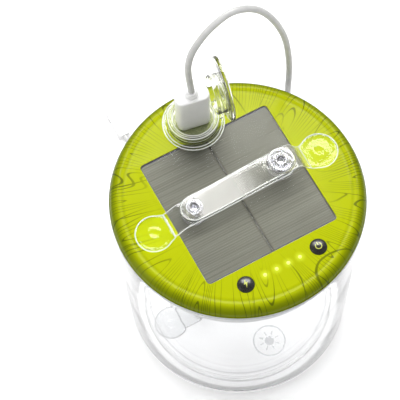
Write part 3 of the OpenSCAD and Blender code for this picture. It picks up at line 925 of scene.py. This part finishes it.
PAD_R, PAD_T = 9.3, 0.75
STRAP_W, STRAP_T = 13, 0.9
STUD_R = 7.0
# The two sets of straps. Pairs are the left and the right snap, and heights are from the film.
STRAP_SETS = {
    "top": {
        "pad_x": 46, "lower": (4.3, 6.4), "upper": (7.1, 10.0), "stud_h": 1.8, "post_h": (1.9, 1.0),
        "skirt_h": (1.6, 2.2), "cap_h": (1.6, 1.8), "cap_r": (4.6, 7.1),
    },
    "bottom": {
        "pad_x": 43.6, "lower": (1.0, 1.0), "upper": (2.6, 2.6), "stud_h": 0.8, "post_h": (0.4, 0.4),
        "skirt_h": (0.4, 0.4), "cap_h": (1.2, 1.2), "cap_r": (6.5, 6.5),
    },
}


def edge_bead(name, outline, height, radius, material, body, slot):
    """A thin rounded bead along the edge of a moulded strap or pad; height gives its middle at (x, y)."""
    points = [Vector((x, y, height(x, y))) for x, y in outline]
    count, sides = len(points), 8
    verts = []
    for i, point in enumerate(points):
        along = (points[(i + 1) % count] - points[i - 1]).normalized()
        side = along.cross(Vector((0, 0, 1))).normalized()
        verts += ring_round(point, radius, side, side.cross(along), sides)
    return place(mesh_object(name, verts, ring_faces(count, sides, True), material, 70), body, slot)


def pad_outline(x):
    """A round pad that flares into a straight neck towards the centre; x is positive for the right pad."""
    reach = math.degrees(math.asin(STRAP_W / 2 / PAD_R))
    disc = arc((abs(x), 0), PAD_R, -180 + reach + 12, 180 - reach - 12, 40)
    neck = [(NECK_X + 0.35, STRAP_W / 2 + 0.3), (NECK_X + 0.35, -STRAP_W / 2 - 0.3)]
    points = disc + neck
    return points if x > 0 else [(-px, py) for px, py in reversed(points)]


def pad_piece(name, x, z_under, upward, mats, body, node_name):
    """A welded strap pad with a raised rim and a dimple. upward is 1 on the top and -1 under the base."""
    def height(px, py):
        away = (Vector((px, py)) - Vector((x, 0))).length
        lift = 0.22 * math.exp(-((away - PAD_R + 0.7) / 0.5) ** 2) - 0.45 * math.exp(-(away / 1.5) ** 2)
        lift += 0.3 * math.exp(-((away - 2.4) / 0.6) ** 2)
        return z_under + upward * lift + (0 if upward > 0 else -PAD_T)

    pad = sheet_piece(name, pad_outline(x), [], height, PAD_T, mats["pad"], step=0.9)
    level = z_under + upward * 0.6
    edge_bead(f"{name}_bead", pad_outline(x), lambda px, py: level, 0.34, mats["bead"], body, "clear_film")
    return place(pad, body, "clear_film", node_name)


def band_outline(side):
    """Plan of a strap: side -1 starts at the left neck, and its round end passes the right snap."""
    end = arc((SNAP_X, 0), STRAP_W / 2, 90, -90, 16)
    neck = [(-NECK_X, -STRAP_W / 2), (-NECK_X, STRAP_W / 2)]
    points = end + neck
    dense = []
    for (x0, y0), (x1, y1) in zip(points, points[1:] + points[:1]):
        pieces = max(1, int(math.hypot(x1 - x0, y1 - y0) / 1.5))
        dense += [(x0 + (x1 - x0) * k / pieces, y0 + (y1 - y0) * k / pieces) for k in range(pieces)]
    return dense if side < 0 else [(-px, py) for px, py in reversed(dense)]


def band_height(start, near, far, side):
    """Height of a strap's underside above the film it is welded to, by x."""
    def height(x):
        u = -side * x
        if u < -SNAP_X + 6.5:
            t = (u + NECK_X) / (NECK_X - SNAP_X - 6.5)
            return start + (near - start) * smoothstep(t)
        t = (u + SNAP_X - 6.5) / (2 * SNAP_X - 13)
        return near + (far - near) * smoothstep(t)
    return height


def band_piece(name, side, heights, start, surface_z, upward, hole_r, material, mats, body, node_name):
    """One strap. side is 1 for the upper strap, which starts at the right pad."""
    profile = band_height(start, *heights, side)
    holes = [circle_points((x, 0), hole_r, 32) for x in (-SNAP_X, SNAP_X)] if hole_r else []

    def height(x, y):
        curl = 0.25 * (2 * y / STRAP_W) ** 2
        z = profile(x) - curl * 0.5
        return surface_z + z if upward > 0 else surface_z - z - STRAP_T

    outline = band_outline(side)
    edge_bead(
        f"{name}_bead", outline, lambda x, y: height(x, y) + STRAP_T / 2, 0.3,
        mats["bead"], body, "clear_strap",
    )
    band = sheet_piece(name, outline, holes, height, STRAP_T, material, step=1.5, bevel=0.22)
    place(band, body, "clear_strap", node_name)


def stud_profile(height, base_h, post_h):
    """Snap stud: a dished disc under the strap and a post that passes into the cap."""
    low = height - base_h
    return [
        (0, low + 0.5), (1.6, low + 0.5), (2.1, low), (STUD_R - 0.2, low), (STUD_R, low + 0.5),
        (STUD_R, height - 0.35), (STUD_R - 0.5, height - 0.05), (STUD_R - 1.4, height - 0.05),
        (STUD_R - 1.7, height - 0.45), (3.4, height - 0.45), (2.9, height - 0.05), (0, height - 0.05),
    ], [
        (0, height + STRAP_T + 0.02), (2.2, height + STRAP_T + 0.02),
        (2.2, height + STRAP_T + post_h), (0, height + STRAP_T + post_h),
    ]


def cap_profile(height, r, skirt_h, cap_h):
    """Snap cap: a domed disc with a deep dimple over the strap, and a socket ring under it."""
    top = height + STRAP_T
    return [
        (0, top + 0.35), (1.5, top + 0.35), (1.9, top + cap_h * 0.85), (2.4, top + cap_h),
        (2.9, top + cap_h), (3.4, top + cap_h * 0.72), (r * 0.8, top + cap_h * 0.78),
        (r - 0.35, top + cap_h * 0.7), (r, top + 0.45), (r - 0.1, top + 0.02), (0, top + 0.02),
    ], [
        (2.9, height - 0.02), (4.9, height - 0.02), (5.0, height - 0.5 * skirt_h),
        (4.9, height - skirt_h), (2.9, height - skirt_h),
    ]


def snap_pieces(prefix, x, parts, z, upward, body, mats, node_name):
    """The two turned pieces of one half of a snap; upside down where upward is -1."""
    for label, profile in zip(("disc", "ring"), parts):
        outline = [(r, z + upward * h) for r, h in profile]
        piece = lathe(f"{prefix}_{label}", outline, mats["snap"], (x, 0), 64, corner=0.22)
        place(piece, body, "clear_strap", node_name)


def make_strap_set(mats, prefix, surface_z, upward, root, moving):
    """Two pads, two straps and two snaps; the same set serves the top and, upside down, the base."""
    straps = STRAP_SETS[prefix]
    for side, label in ((-1, "left"), (1, "right")):
        pad_piece(
            f"{prefix}_pad_{label}", side * straps["pad_x"], surface_z + upward * 0.05, upward,
            mats, root, f"{prefix}_pads",
        )
    lower, upper = straps["lower"], straps["upper"]
    band_piece(
        f"{prefix}_band_lower", -1, lower, 1.1, surface_z, upward, 0,
        mats["strap"], mats, root, f"{prefix}_strap_lower",
    )
    band_piece(
        f"{prefix}_band_upper", 1, upper[::-1], 1.2, surface_z, upward, 2.5,
        mats["strap_hazy"], mats, moving, f"{prefix}_strap_upper",
    )
    for i, (x, label) in enumerate(((-SNAP_X, "left"), (SNAP_X, "right"))):
        stud = stud_profile(lower[i], straps["stud_h"], straps["post_h"][i])
        cap = cap_profile(upper[i], straps["cap_r"][i], straps["skirt_h"][i], straps["cap_h"][i])
        for half, parts, body in (("stud", stud, root), ("cap", cap, moving)):
            snap_pieces(
                f"{prefix}_{half}_{label}", x, parts, surface_z, upward, body, mats, f"{prefix}_snap_{half}s"
            )


# The cap and its hinge, from the middle of the port.
HINGE_X, HINGE_W = 15, 10
LUG_INTO_COLLAR, LUG_GAP = 0.8, 0.9
CAP_R, CAP_T = 16.5, 1.4
CAP_TAB_H = 1.6
SKIRT_R = 10.0


def make_port(mats):
    """The clear surround: a welded flange, ridges, and a collar round the well."""
    well, outer = 10.3, 12.8
    profile = [
        (7.7, 0.05), (15.7, 0.05), (15.7, 0.7), (15.2, 0.95), (14.7, 0.8), (14.3, 1.5),
        (13.8, 1.6), (13.4, 1.0), (13.1, 1.4), (outer, 2.4), (outer - 0.25, 4.6),
        (outer, 5.6), (outer - 0.1, 6.6), (outer - 0.6, 7.0), (well + 0.7, 7.0), (well + 0.1, 6.5),
        (well, 5.3), (well + 0.45, 4.6), (well + 0.45, 3.9), (well, 3.2), (well, 0.65), (7.7, 0.6),
    ]
    profile = [(r, TOP_Z + h) for r, h in profile]
    # Its darker olive tint is painted shade round the well.
    collar = at_port(lathe("port_surround", profile, mats["port"], corner=0.3))
    place(collar, "top_unit", "clear_moulding", "port_boss")
    # Whitish rims on the ridges: painted highlights along the port's ring edges.
    rims = (
        (15.45, 0.75, 0.32), (14.3, 1.5, 0.26), (12.55, 6.6, 0.38), (11.6, 7.0, 0.2),
        (10.65, 6.8, 0.32), (10.35, 4.2, 0.26), (10.2, 1.6, 0.26),
    )
    for i, (radius, lift, thick) in enumerate(rims):
        rim = circle_points((PORT_X, PORT_Y), radius, 96)
        edge_bead(
            f"port_rim_{i + 1}", rim, lambda x, y: TOP_Z + lift, thick,
            mats["bead"], "top_unit", "clear_moulding",
        )
    # The lug reaches into the collar, and stops short of the cap's strip.
    inner_x, outer_x = outer - LUG_INTO_COLLAR, HINGE_X - LUG_GAP
    lug = rounded_bar(
        "hinge_lug", (outer_x - inner_x, HINGE_W, 1.5), 0.6,
        ((inner_x + outer_x) / 2, 0, TOP_Z + 5.45), mats["boss"], 0.3,
    )
    place(at_port(lug), "top_unit", "clear_moulding")


def make_port_cap(mats):
    """The open cap: a ribbed disc, a skirt turned to face the plug, and its hinge strip."""
    hinge_z = TOP_Z + 7.8

    def stand(centre_z):
        # The axis turns from Z to X, with the skirt towards -X.
        return lambda x, y, z: (HINGE_X + CAP_T + z, y, centre_z + x)

    disc = [
        (0, -0.35), (2.4, -0.35), (2.9, 0.0), (14.6, 0.0), (15.1, 0.5), (CAP_R - 0.25, 0.5),
        (CAP_R - 0.05, 0.0), (CAP_R - 0.2, -CAP_T), (5.2, -CAP_T), (4.8, -CAP_T - 0.5),
        (4.1, -CAP_T - 0.5), (3.7, -CAP_T), (0, -CAP_T),
    ]
    plate = lathe("cap_disc", disc, mats["cap"], corner=0.25, shape=stand(hinge_z + CAP_TAB_H + CAP_R))
    place(at_port(plate), "cap", "clear_moulding", "port_cap")
    skirt = (
        (0.2, -0.02), (0, -0.5), (0, -2.6), (0.25, -3.2),
        (-0.1, -4.9), (-0.7, -4.9), (-0.9, -0.5), (-1.2, -0.02),
    )
    skirt = [(SKIRT_R + r, z - CAP_T) for r, z in skirt]
    ring = lathe("cap_skirt", skirt, mats["cap"], corner=0.2, shape=stand(hinge_z + HINGE_X))
    place(at_port(ring), "cap", "clear_moulding")
    strip = rounded_bar(
        "cap_hinge_strip", (1.3, HINGE_W, 2 * CAP_TAB_H + 1.0), 0.5,
        (HINGE_X + 0.65, 0, hinge_z - 0.5), mats["cap"], 0.25,
    )
    place(at_port(strip), "cap", "clear_moulding")


KEY_R, DOME_R = 4.1, 8.0


def key_surface(x, y):
    """Height of a key's dome above the film, by the place from its centre."""
    away = min(math.hypot(x, y), KEY_R)
    return 1.4 - DOME_R + math.sqrt(DOME_R ** 2 - away ** 2)


def make_key(mats, name, x, node_name, body):
    dome = [(float(a), float(TOP_Z + key_surface(a, 0))) for a in np.linspace(3.75, 0, 10)]
    low_z = box_mm(node_name)[0].z
    profile = [
        (0, low_z), (1.5, low_z), (1.5, TOP_Z - 2.2), (5.1, TOP_Z - 2.2), (5.1, TOP_Z - 1.25),
        (KEY_R, TOP_Z - 1.25), (KEY_R, TOP_Z + 0.12), (KEY_R - 0.12, TOP_Z + 0.32),
    ]
    piece = lathe(name, profile + dome, mats["key"], (x, KEY_Y), 64)
    place(piece, body, "black_key", node_name)


def icon_piece(name, outline, x, body, mats):
    """A thin printed mark that follows a key's dome."""
    def height(px, py):
        return TOP_Z + key_surface(px - x, py - KEY_Y) + 0.01

    placed = [(px + x, py + KEY_Y) for px, py in outline]
    place(sheet_piece(name, placed, [], height, 0.06, mats["icon"], step=0.4, bevel=0), body, "black_key")


def make_keys(mats):
    make_key(mats, "key_power", KEY_X, "power_button", "power_key")
    make_key(mats, "key_charge", -KEY_X, "charge_button", "charge_key")
    gap = 32
    ring = arc((0, 0), 1.75, 90 + gap, 450 - gap, 28) + arc((0, 0), 1.35, 450 - gap, 90 + gap, 28)
    icon_piece("icon_power_ring", ring, KEY_X, "power_key", mats)
    bar = [(-0.2, 0.5), (0.2, 0.5), (0.2, 2.1), (-0.2, 2.1)]
    icon_piece("icon_power_bar", bar, KEY_X, "power_key", mats)
    bolt = [(0.55, 2.2), (-1.15, -0.2), (-0.2, -0.2), (-0.6, -2.2), (1.15, 0.45), (0.2, 0.45)]
    icon_piece("icon_bolt", bolt, -KEY_X, "charge_key", mats)


def make_lamps(mats):
    """Four soft lights under the film, as low round lenses."""
    for i, x in enumerate(LAMP_X):
        z = TOP_Z - 0.16
        profile = [(0, z), (0.95, z), (0.9, z + 0.06), (0.5, z + 0.13), (0, z + 0.15)]
        lens = lathe(f"charge_lamp_{i + 1}", profile, mats["lamp"], (x, LAMP_Y), 32)
        place(lens, "top_unit", "diffuser")


def make_tray_detail(mats):
    """The underside seen through the body: a reflector ring and its ribs."""
    z = box_mm("lower_tray")[0].z
    profile = [(15, z - 0.02), (36, z - 0.02), (36, z - 0.5), (34.8, z - 0.9), (16.2, z - 0.9), (15, z - 0.5)]
    plate = lathe("reflector_plate", profile, mats["tray"], corner=0.3)
    place(plate, "top_unit", "white_plastic")
    for i in range(10):
        a = math.radians(90 + 18 + 36 * i)
        verts = [
            (r * math.cos(a) - off * math.sin(a), r * math.sin(a) + off * math.cos(a), level)
            for r in np.linspace(51.5, 59.2, 3) for off in (-0.5, 0.5) for level in (z - 0.02, z - 0.8)
        ]
        faces = [
            tuple(s + c for c in side)
            for s in (0, 4) for side in ((0, 2, 6, 4), (1, 5, 7, 3), (0, 4, 5, 1), (2, 3, 7, 6))
        ]
        faces += [(0, 1, 3, 2), (8, 10, 11, 9)]
        place(mesh_object(f"tray_rib_{i + 1}", verts, faces, mats["tray"]), "top_unit", "white_plastic")


# ---------------------------------------------------------------- clear body

def make_wall(mats):
    """The inflated film wall: straight, with the slight flats and dents of soft film."""
    low, high = box_mm("clear_wall")
    top = high.z + 0.2

    def bulge(z):
        t = (z - low.z) / (top - low.z)
        return 0.28 * math.sin(math.pi * t) - 0.5 * math.exp(-((t - 1) / 0.02) ** 2) * 0.4

    outer = [(WALL_R + bulge(z), z) for z in np.linspace(low.z, top, 48)]
    inner = [(r - 0.6, z) for r, z in reversed(outer)]

    def soften(x, y, z):
        a = math.atan2(y, x)
        t = (z - low.z) / (top - low.z)
        fade = math.sin(math.pi * min(max(t, 0), 1)) ** 0.5
        dent = 0.16 * math.sin(5 * a + 2.2 * t) + 0.10 * math.sin(11 * a - 4.0 * t + 1.0)
        k = 1 + fade * (dent + 0.06 * math.sin(17 * a + 9 * t)) / BODY_R
        return (x * k, y * k, z)

    wall = lathe("film_wall", outer + inner, mats["wall"], segments=192, shape=soften)
    place(wall, "base", "clear_film", "clear_wall")
    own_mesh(wall)


def make_foot(mats):
    """The rounded foot: the wall's film turns in and down to a flat ring, then up to the bottom film."""
    r = 6.0
    mid = WALL_R - r
    inner_edge = 53.5
    skin = 0.8
    outer_arc = arc((mid, r), r, 0, -90, 14)
    inner_arc = arc((mid, r), r - skin, -90, 0, 14)
    profile = [(WALL_R, 8.0), *outer_arc]
    profile += [(inner_edge + 0.5, 0.0), (inner_edge, 0.5), (inner_edge, 5.4)]
    profile += [(inner_edge + 0.9, 5.4), (inner_edge + 0.9, 1.2), (inner_edge + 1.2, skin)]
    profile += [*inner_arc, (WALL_R - skin, 8.0)]
    foot = lathe("rounded_foot", profile, mats["foot"], segments=160)
    place(foot, "base", "clear_film", "base_ring")


def make_bottom_film(mats):
    """The bottom film with its moulded rings."""
    z0, thick = box_mm("bottom_film")[0].z, 1.0

    def over(x, y):
        lift = sum(0.45 * math.exp(-((math.hypot(x, y) - c) / 0.42) ** 2) for c in (44.0, 47.5, 51.5))
        near = min(math.hypot(x, y - MARK_Y), math.hypot(x, y + MARK_Y))
        return z0 + thick + lift * smoothstep(near - 8.8)

    hole = circle_points((0, VALVE_Y), 5.2, 40)
    verts, faces = flat_sheet(circle_points((0, 0), 53.4, 160), [hole], 1.1)
    film = closed_sheet(
        "bottom_sheet", [(x, y, z0) for x, y in verts], [(x, y, over(x, y)) for x, y in verts],
        faces, mats["bottom"], 60,
    )
    place(film, "base", "clear_film", "bottom_film")


def make_sun_mark(mats):
    """A generic sun in a raised circle on the bottom film."""
    z = box_mm("bottom_medallion")[0].z + 0.02
    rim = [(8.5, z), (9.3, z), (9.3, z + 0.6), (8.9, z + 0.85), (8.5, z + 0.6)]
    circle = lathe("mark_circle", rim, mats["mark"], (0, MARK_Y), corner=0.2)
    place(circle, "base", "clear_film", "bottom_medallion")
    disc = [(0, z), (2.6, z), (2.6, z + 0.5), (1.8, z + 0.75), (0, z + 0.8)]
    place(lathe("mark_sun", disc, mats["mark"], (0, MARK_Y), 48), "base", "clear_film")
    ray = rounded_outline([(3.6, -0.35), (5.8, -0.2), (5.8, 0.2), (3.6, 0.35)], 0.15, 2)
    for i in range(8):
        c, s = math.cos(math.radians(45 * i)), math.sin(math.radians(45 * i))
        placed = [(x * c - y * s, MARK_Y + x * s + y * c) for x, y in ray]
        piece = sheet_piece(f"mark_ray_{i + 1}", placed, [], lambda x, y: z, 0.6, mats["mark"], 0.6, 0.1)
        place(piece, "base", "clear_film")


def make_valve(mats):
    """The inflation valve under the base, and its stopper with a pull tab."""
    tube_outline = [
        (3.2, 3.45), (4.6, 3.45), (5.0, 3.9), (5.0, 6.45), (5.0, 6.55), (9.0, 6.55), (9.0, 7.1), (8.6, 7.4),
        (5.4, 7.4), (5.0, 7.9), (4.9, 12.2), (4.4, 13.0), (3.2, 13.0),
    ]
    stopper_outline = [
        (0, 1.0), (4.9, 1.0), (5.6, 1.5), (5.6, 2.8), (5.2, 3.2),
        (3.1, 3.2), (3.1, 7.6), (2.7, 8.2), (0, 8.2),
    ]
    for name, outline, body, node_name in (
        ("valve_tube", tube_outline, "base", "valve_body"),
        ("valve_stopper_moulding", stopper_outline, "valve_stopper", "valve_plug"),
    ):
        piece = lathe(name, outline, mats["boss"], (0, VALVE_Y), 64, corner=0.25)
        place(piece, body, "clear_moulding", node_name)
    tab = rounded_bar("valve_pull_tab", (3.0, 4.4, 1.1), 1.2, (0, VALVE_Y + 6.2, 1.0), mats["boss"], 0.2)
    place(tab, "valve_stopper", "clear_moulding")


NODE_MATERIALS = {
    "panel_window": "window", "solar_cells": "cell", "panel_board": "panel", "deck_plate": "tray",
    "lower_tray": "tray", "light_diffuser": "diffuser", "circuit_board": "board", "board_screws": "steel",
    "battery": "battery", "battery_pad": "foam", "battery_leads": "red", "panel_leads": "black",
    "lantern_leds": "led", "indicator_leds": "led", "light_pipes": "diffuser", "tact_switches": "black",
    "usb_socket_shell": "steel", "usb_socket_tongue": "black", "port_gasket": "gasket",
    "usb_plug_shell": "steel", "usb_plug_insert": "white", "connector_tip": "steel",
}


def dress_cad_nodes(mats):
    for name, key in NODE_MATERIALS.items():
        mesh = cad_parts[name].data
        mesh.materials.clear()
        mesh.materials.append(mats[key])


def build():
    make_camera()
    mats = make_materials()
    make_cable(mats)
    make_stage()
    dress_cad_nodes(mats)
    make_top_film(mats)
    make_flange(mats)
    make_strap_set(mats, "top", TOP_Z, 1, "top_unit", "top_strap")
    make_port(mats)
    make_port_cap(mats)
    make_keys(mats)
    make_lamps(mats)
    make_tray_detail(mats)
    make_wall(mats)
    make_foot(mats)
    make_bottom_film(mats)
    make_sun_mark(mats)
    make_valve(mats)
    # The set under the base is seen through the body, so it is tinted grey and its edges are drawn greyer:
    # painted shade.
    low = mats["low_strap"]
    low_mats = {
        **mats, "strap": low, "strap_hazy": low, "pad": low, "bead": mats["edge_line"], "snap": mats["mark"],
    }
    make_strap_set(low_mats, "bottom", box_mm("bottom_film")[0].z, -1, "base", "bottom_strap")


build()
